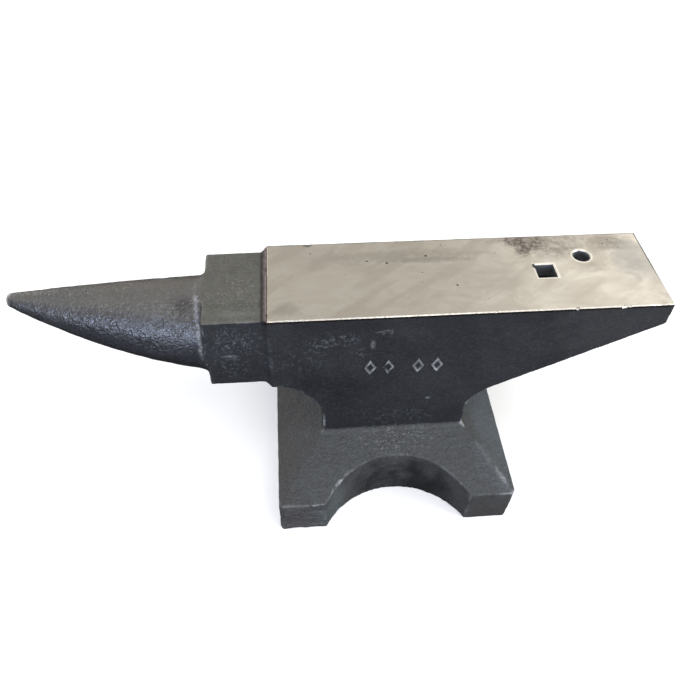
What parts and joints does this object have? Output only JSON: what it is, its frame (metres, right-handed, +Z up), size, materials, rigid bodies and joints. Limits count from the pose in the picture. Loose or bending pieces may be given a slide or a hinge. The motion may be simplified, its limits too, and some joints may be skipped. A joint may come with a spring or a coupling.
{
  "type": "anvil",
  "caption": "Single-horn blacksmith's anvil with a ground steel face, a hardy hole, a pritchel hole, a cutting table and a scalloped foot, for hammering hot metal over.",
  "frame": {"origin": "centre of the foot's underside", "axes": "+Z up, square to the face; -X towards the horn and +X towards the heel; Y across the face"},
  "size_m": [0.662, 0.274, 0.26],
  "materials": {
    "foot_casting": "rough painted casting, grey-green cast",
    "body_paint": "satin blue-black paint over rough casting",
    "horn_paint": "satin blue-black paint over rough casting",
    "ground_face": "satin ground steel"
  },
  "bodies": {
    "root": {"base": "foot_casting", "body": "body_paint", "heel": "body_paint", "face_plate": "ground_face", "table_block": "body_paint", "horn": "horn_paint", "horn_weld": "horn_paint", "table_weld": "body_paint", "base_weld": "foot_casting"}
  },
  "joints": []
}
